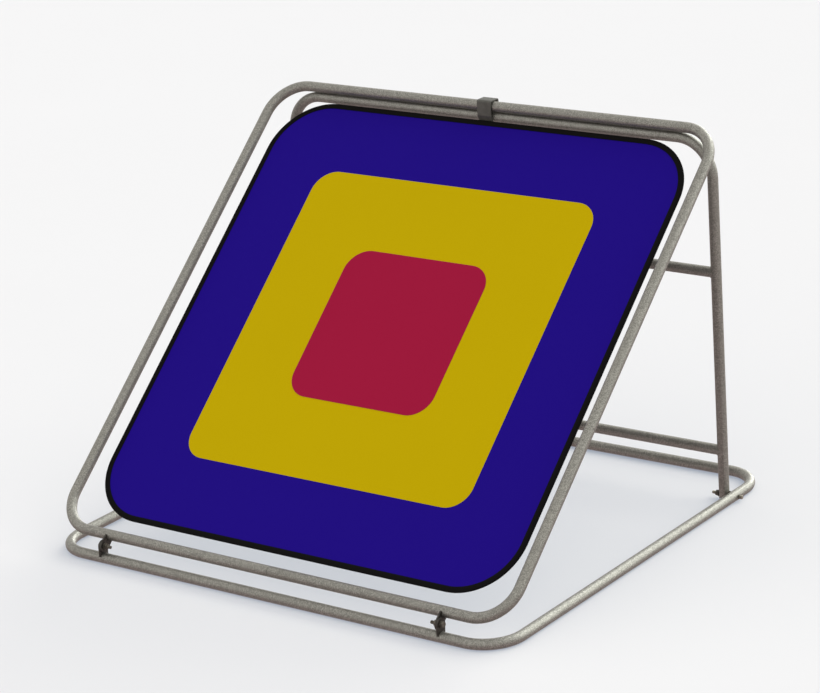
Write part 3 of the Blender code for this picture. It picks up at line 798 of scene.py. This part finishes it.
def trim_section(notched):
    """(inset from the sign's edge, distance out) round the channel. In the notch its rear leg is a sliver."""
    if notched:
        rear, thin, rear_leg, lip, turn = SHEET_FRONT + SLIVER, SLIVER, TRIM_T + 2 * SLIVER, 0, 2 * SLIVER
    else:
        rear, thin, rear_leg, lip, turn = SHEET_BACK - TRIM_REAR, TRIM_T, TRIM_LEG, TRIM_LIP, TRIM_T
    quarter = [math.pi / 2 * i / 4 for i in range(5)]
    inside = FACE_N - TRIM_FRONT_T
    rows = [(TRIM_LEG, inside), (TRIM_LEG, FACE_N - 0.0004), (TRIM_LEG - TRIM_LIP, FACE_N)]
    rows += [(TRIM_T - TRIM_T * math.sin(t), FACE_N - TRIM_T + TRIM_T * math.cos(t)) for t in quarter]
    rows += [(turn - turn * math.cos(t), rear + turn - turn * math.sin(t)) for t in quarter]
    rows += [(rear_leg - lip, rear), (rear_leg, rear + 0.3 * thin), (rear_leg, rear + thin)]
    return rows + [(TRIM_T, rear + thin), (TRIM_T, inside)]


def build_trim():
    """A channel that grips the sheet's edge, with a rounded back and thin lips, notched for the strap."""
    def outlined(rows):
        return [(rounded_square(SIGN_SIZE - 2 * inset, SIGN_CORNER_R - inset), out) for inset, out in rows]

    plain, cut = outlined(trim_section(False)), outlined(trim_section(True))
    edge = STRAP_WIDTH / 2 + NOTCH_GAP
    stops = ((STRAP_X + edge, plain), (STRAP_X + edge - 2 * SLIVER, cut),
             (STRAP_X - edge + 2 * SLIVER, cut), (STRAP_X - edge, plain))
    last = PATCH_STEPS      # the outline's last point before the strap
    rings = []
    for row, (outline, out) in enumerate(plain):
        points = [on_sign(x, up, out) for x, up in outline]
        notch = [on_sign(x, rows[row][0][last][1], rows[row][1]) for x, rows in stops]
        rings.append(points[:last + 1] + notch + points[last + 1:])
    piece("edge_channel", *loft(rings, closed=True), "sign", RUBBER, "black_edging", ["edge_trim"], smooth=40)


def strip_outline(path, thickness):
    """Outline of a strip of even thickness along a line of 2D points."""
    left, right = [], []
    for i, point in enumerate(path):
        into = (point - path[i - 1]).normalized() if i else (path[1] - point).normalized()
        away = (path[i + 1] - point).normalized() if i < len(path) - 1 else into
        along = (into + away).normalized()
        across = Vector((-along.y, along.x)) * (thickness / 2 / max(along.dot(away), 0.5))
        left.append(point + across)
        right.append(point - across)
    return left + right[::-1]


def fillet(before, corner, after, radius, steps):
    """An arc that rounds a corner between two points."""
    back = (before - corner).normalized()
    on = (after - corner).normalized()
    half = back.angle(on) / 2
    centre = corner + (back + on).normalized() * (radius / math.sin(half))
    first = corner + back * (radius / math.tan(half)) - centre
    last = corner + on * (radius / math.tan(half)) - centre
    turn = math.atan2(first.cross(last), first.dot(last))
    return [centre + Matrix.Rotation(turn * i / steps, 2) @ first for i in range(steps + 1)]


def filleted(stops, radii, steps):
    """A line through the stops, rounded at each inner one."""
    path = [stops[0]]
    for before, corner, after, radius in zip(stops, stops[1:], stops[2:], radii):
        path += fillet(before, corner, after, radius, steps)
    return path + [stops[-1]]


def rail_path():
    """Middle line of a hat section, across the rail: up the sign and out of its back."""
    foot = SHEET_BACK - GAP - RAIL_T / 2
    crown = SHEET_BACK - GAP - RAIL_DEPTH + RAIL_T / 2
    side = RAIL_HALF_CROWN - RAIL_T / 2
    stops = [(-RAIL_HALF_FOOT, foot), (-side, foot), (-side, crown),
             (side, crown), (side, foot), (RAIL_HALF_FOOT, foot)]
    return filleted([Vector(stop) for stop in stops], [RAIL_FILLET] * 4, 6)


def build_rails():
    """Two hat sections across the sign's back, each on two strips of black tape."""
    outline = strip_outline(rail_path(), RAIL_T)
    half = TAPE_HALF_WIDTH
    for name in ("lower", "upper"):
        node = "sign_rail_" + name
        low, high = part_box(node)
        middle = ((low + high) / 2 - TOP_BAR).dot(UP)
        rings = [[on_sign(x, middle + p.x, p.y) for p in outline] for x in (low.x, high.x)]
        piece(node + "_hat", *loft(rings), "sign", ALUMINIUM, "rail_aluminium", [node], bevel=GAP)
        for side, sign in (("lower", -1), ("upper", 1)):
            centre = middle + sign * TAPE_OFFSET
            corners = [(-half, -GAP), (half, -GAP), (half, 0.0), (-half, 0.0)]
            rings = [[on_sign(x, centre + a, SHEET_BACK + b) for a, b in corners]
                     for x in (low.x + TAPE_END, high.x - TAPE_END)]
            piece(f"rail_tape_{name}_{side}", *loft(rings), "sign", RUBBER, "black_edging")


def strap_path():
    """The strap's middle line, as (Y, Z) from the top bar's middle."""
    half = STRAP_T / 2
    front = -(TUBE_R / FACETED + GAP + half)
    back = STRAP_BACK_GAP - front
    leg_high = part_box("leg_frame")[1]
    leg = Vector((LEG_PIVOT.y - TOP_BAR.y, leg_high.z - TUBE_R - TOP_BAR.z))
    clear = TUBE_R / FACETED + STRAP_CLEAR + half
    corner = Vector((front, STRAP_KNEE_Z))
    touch = tangent_angle(leg, clear, corner, 1)
    touch_point = leg + clear * Vector((math.cos(touch), math.sin(touch)))
    along = (touch_point - corner).normalized()
    up, out = Vector((UP.y, UP.z)), Vector((-UP.z, UP.y))
    tail = SHEET_BACK - GAP - half
    turn = touch_point + along * ((touch_point.dot(out) - tail) / -along.dot(out))
    end = out * tail - up * (SIGN_TOP + STRAP_TAIL)
    stops = [Vector((back, STRAP_LIP_Z)), Vector((back, -front)), Vector((front, -front)), corner, turn, end]
    return filleted(stops, STRAP_FILLETS, 10)


def build_strap():
    """The bent hanger: over the top bar, down its front, under the leg's bar and down the sheet's back."""
    low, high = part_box("hanger_strap")
    outline = strip_outline(strap_path(), STRAP_T)
    rings = [[TOP_BAR + x * X + p.x * Y + p.y * Z for p in outline] for x in (low.x, high.x)]
    piece("hanger_strap_bent", *loft(rings), "sign", STRAP_STEEL, "strap_steel", ["hanger_strap"],
          bevel=STRAP_ROUNDING)
    for which in ("upper", "lower"):
        build_stud(which)


def build_stud(which):
    """An M6 stud through the strap's tail, with its nut."""
    low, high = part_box("hanger_nut_" + which)
    up = ((low + high) / 2 - TOP_BAR).dot(UP)
    centre = on_sign(STRAP_X, up, 0)
    back = SHEET_BACK - GAP - STRAP_T
    tip = back - STUD_PROUD
    profile = [(SHEET_BACK, 0.0), (SHEET_BACK, M6_R), (back - 0.004, M6_R)]
    profile += thread_profile(back - 0.0041, tip, M6_R, M6_PITCH)
    profile.append((tip, 0.0))
    spun(f"hanger_stud_{which}_m6", centre, profile, "sign", BOLT_ZINC, "zinc_fastener",
         ["hanger_stud_" + which], axis=OUT, side_axis=X)
    profile = nut_profile(M6_FLATS, back - GAP, back - GAP - M6_NUT, M6_NUT_BORE)
    spun(f"hanger_nut_{which}_hex", centre, profile, "sign", NUT_STEEL, "hinge_steel",
         ["hanger_nut_" + which], axis=OUT, side_axis=X, closed=True)


# ---------------------------------------------------------------- floor, light and camera

FLOOR_REACH = 60.0
FLOOR_Z = -0.0001
FLOOR_TONE = (0.485, 0.440, 0.392, 1.0)
FLOOR_TONE_WORN = (0.490, 0.445, 0.397, 1.0)
FLOOR_GLOW = (0.258, 0.312, 0.390, 1.0)
SKY = (0.93, 0.92, 0.905, 1.0)
GROUND = (0.52, 0.42, 0.43, 1.0)
SKY_STOPS = ((0.0, GROUND), (0.38, GROUND), (0.49, SKY), (1.0, SKY))   # straight down to straight up
CAMERA_ANGLES = (37.339, 18.661, -4.077)   # azimuth, elevation and roll, in degrees
CAMERA_PLACE = (4.0844, -4.7541, 2.6650)   # from the middle of the base's front bar
CAMERA_LENS = 132.05
CAMERA_SHIFT = (0.0007, 0.0077)


def build_floor():
    """A pale studio floor. It glows a little, so that the shade on it stays soft."""
    mesh = bpy.data.meshes.new("floor")
    corners = [(x * FLOOR_REACH, y * FLOOR_REACH, 0) for x, y in ((-1, -1), (1, -1), (1, 1), (-1, 1))]
    mesh.from_pydata(corners, [], [(0, 1, 2, 3)])
    floor = bpy.data.objects.new("floor", mesh)
    floor.location.z = FLOOR_Z
    floor.visible_glossy = False
    floor.visible_diffuse = False
    bpy.context.scene.collection.objects.link(floor)
    m = Nodes("floor_paint")
    m.set(Metallic=0.0, Roughness=1.0, Specular_IOR_Level=0.0, Emission_Strength=1.0)
    m.set(Emission_Color=FLOOR_GLOW)
    tone = m.mix(m.span(m.noise(1.2, 3.0), 0.0, 1.0, 0.3, 0.7), FLOOR_TONE, FLOOR_TONE_WORN)
    mesh.materials.append(m.finish(tone))


def add_sun(name, direction, strength, colour, angle):
    """A light that shines from a direction. The wider its angle in degrees, the softer its shade."""
    data = bpy.data.lights.new(name, "SUN")
    data.energy = strength
    data.color = colour
    data.angle = math.radians(angle)
    sun = bpy.data.objects.new(name, data)
    sun.rotation_mode = "QUATERNION"
    sun.rotation_quaternion = Vector(direction).to_track_quat("Z", "Y")
    bpy.context.scene.collection.objects.link(sun)


def build_light():
    """An even white room over a darker, warm ground, with three soft lights from behind."""
    world = bpy.data.worlds.new("studio")
    bpy.context.scene.world = world
    world.use_nodes = True
    tree = world.node_tree
    background = tree.nodes["Background"]
    coords = tree.nodes.new("ShaderNodeTexCoord")
    parts = tree.nodes.new("ShaderNodeSeparateXYZ")
    ramp = tree.nodes.new("ShaderNodeValToRGB")
    height = tree.nodes.new("ShaderNodeMapRange")
    height.inputs["From Min"].default_value = -1.0
    tree.links.new(coords.outputs["Generated"], parts.inputs["Vector"])
    tree.links.new(parts.outputs["Z"], height.inputs["Value"])
    tree.links.new(height.outputs["Result"], ramp.inputs["Fac"])
    tree.links.new(ramp.outputs["Color"], background.inputs["Color"])
    elements = ramp.color_ramp.elements
    while len(elements) < len(SKY_STOPS):
        elements.new(0.5)
    for element, (position, colour) in zip(elements, SKY_STOPS):
        element.position = position
        element.color = colour
    background.inputs["Strength"].default_value = 1.0
    add_sun("key", (0.36, 0.75, 0.52), 2.1, (0.95, 1.0, 0.98), 70)
    add_sun("edge", (0.10, 0.80, 0.60), 0.30, (0.96, 1.0, 0.98), 18)
    add_sun("rim", (-0.16, 0.95, 0.20), 0.9, (0.98, 1.0, 0.99), 24)


def build_camera():
    """A long lens at the photographed angle."""
    azimuth, elevation, roll = (math.radians(angle) for angle in CAMERA_ANGLES)
    level = Vector((math.sin(azimuth), -math.cos(azimuth), 0))
    back = math.cos(elevation) * level + math.sin(elevation) * Z
    right = (-back).cross(Z).normalized()
    up = right.cross(-back)
    x_axis = math.cos(roll) * right + math.sin(roll) * up
    y_axis = -math.sin(roll) * right + math.cos(roll) * up
    data = bpy.data.cameras.new("camera")
    data.sensor_width = 36
    data.lens = CAMERA_LENS
    data.shift_x, data.shift_y = CAMERA_SHIFT
    data.clip_start = 0.1
    data.clip_end = 100
    camera = bpy.data.objects.new("camera", data)
    rotation = Matrix((x_axis, y_axis, back)).transposed().to_4x4()
    camera.matrix_world = Matrix.Translation(Vector(CAMERA_PLACE) + ORIGIN) @ rotation
    bpy.context.scene.collection.objects.link(camera)
    bpy.context.scene.camera = camera


build_rings()
build_leg()
build_fasteners()
build_lugs()
build_sign()
build_floor()
build_light()
build_camera()
bpy.context.scene.view_settings.view_transform = "Standard"
bpy.context.scene.view_settings.look = "None"
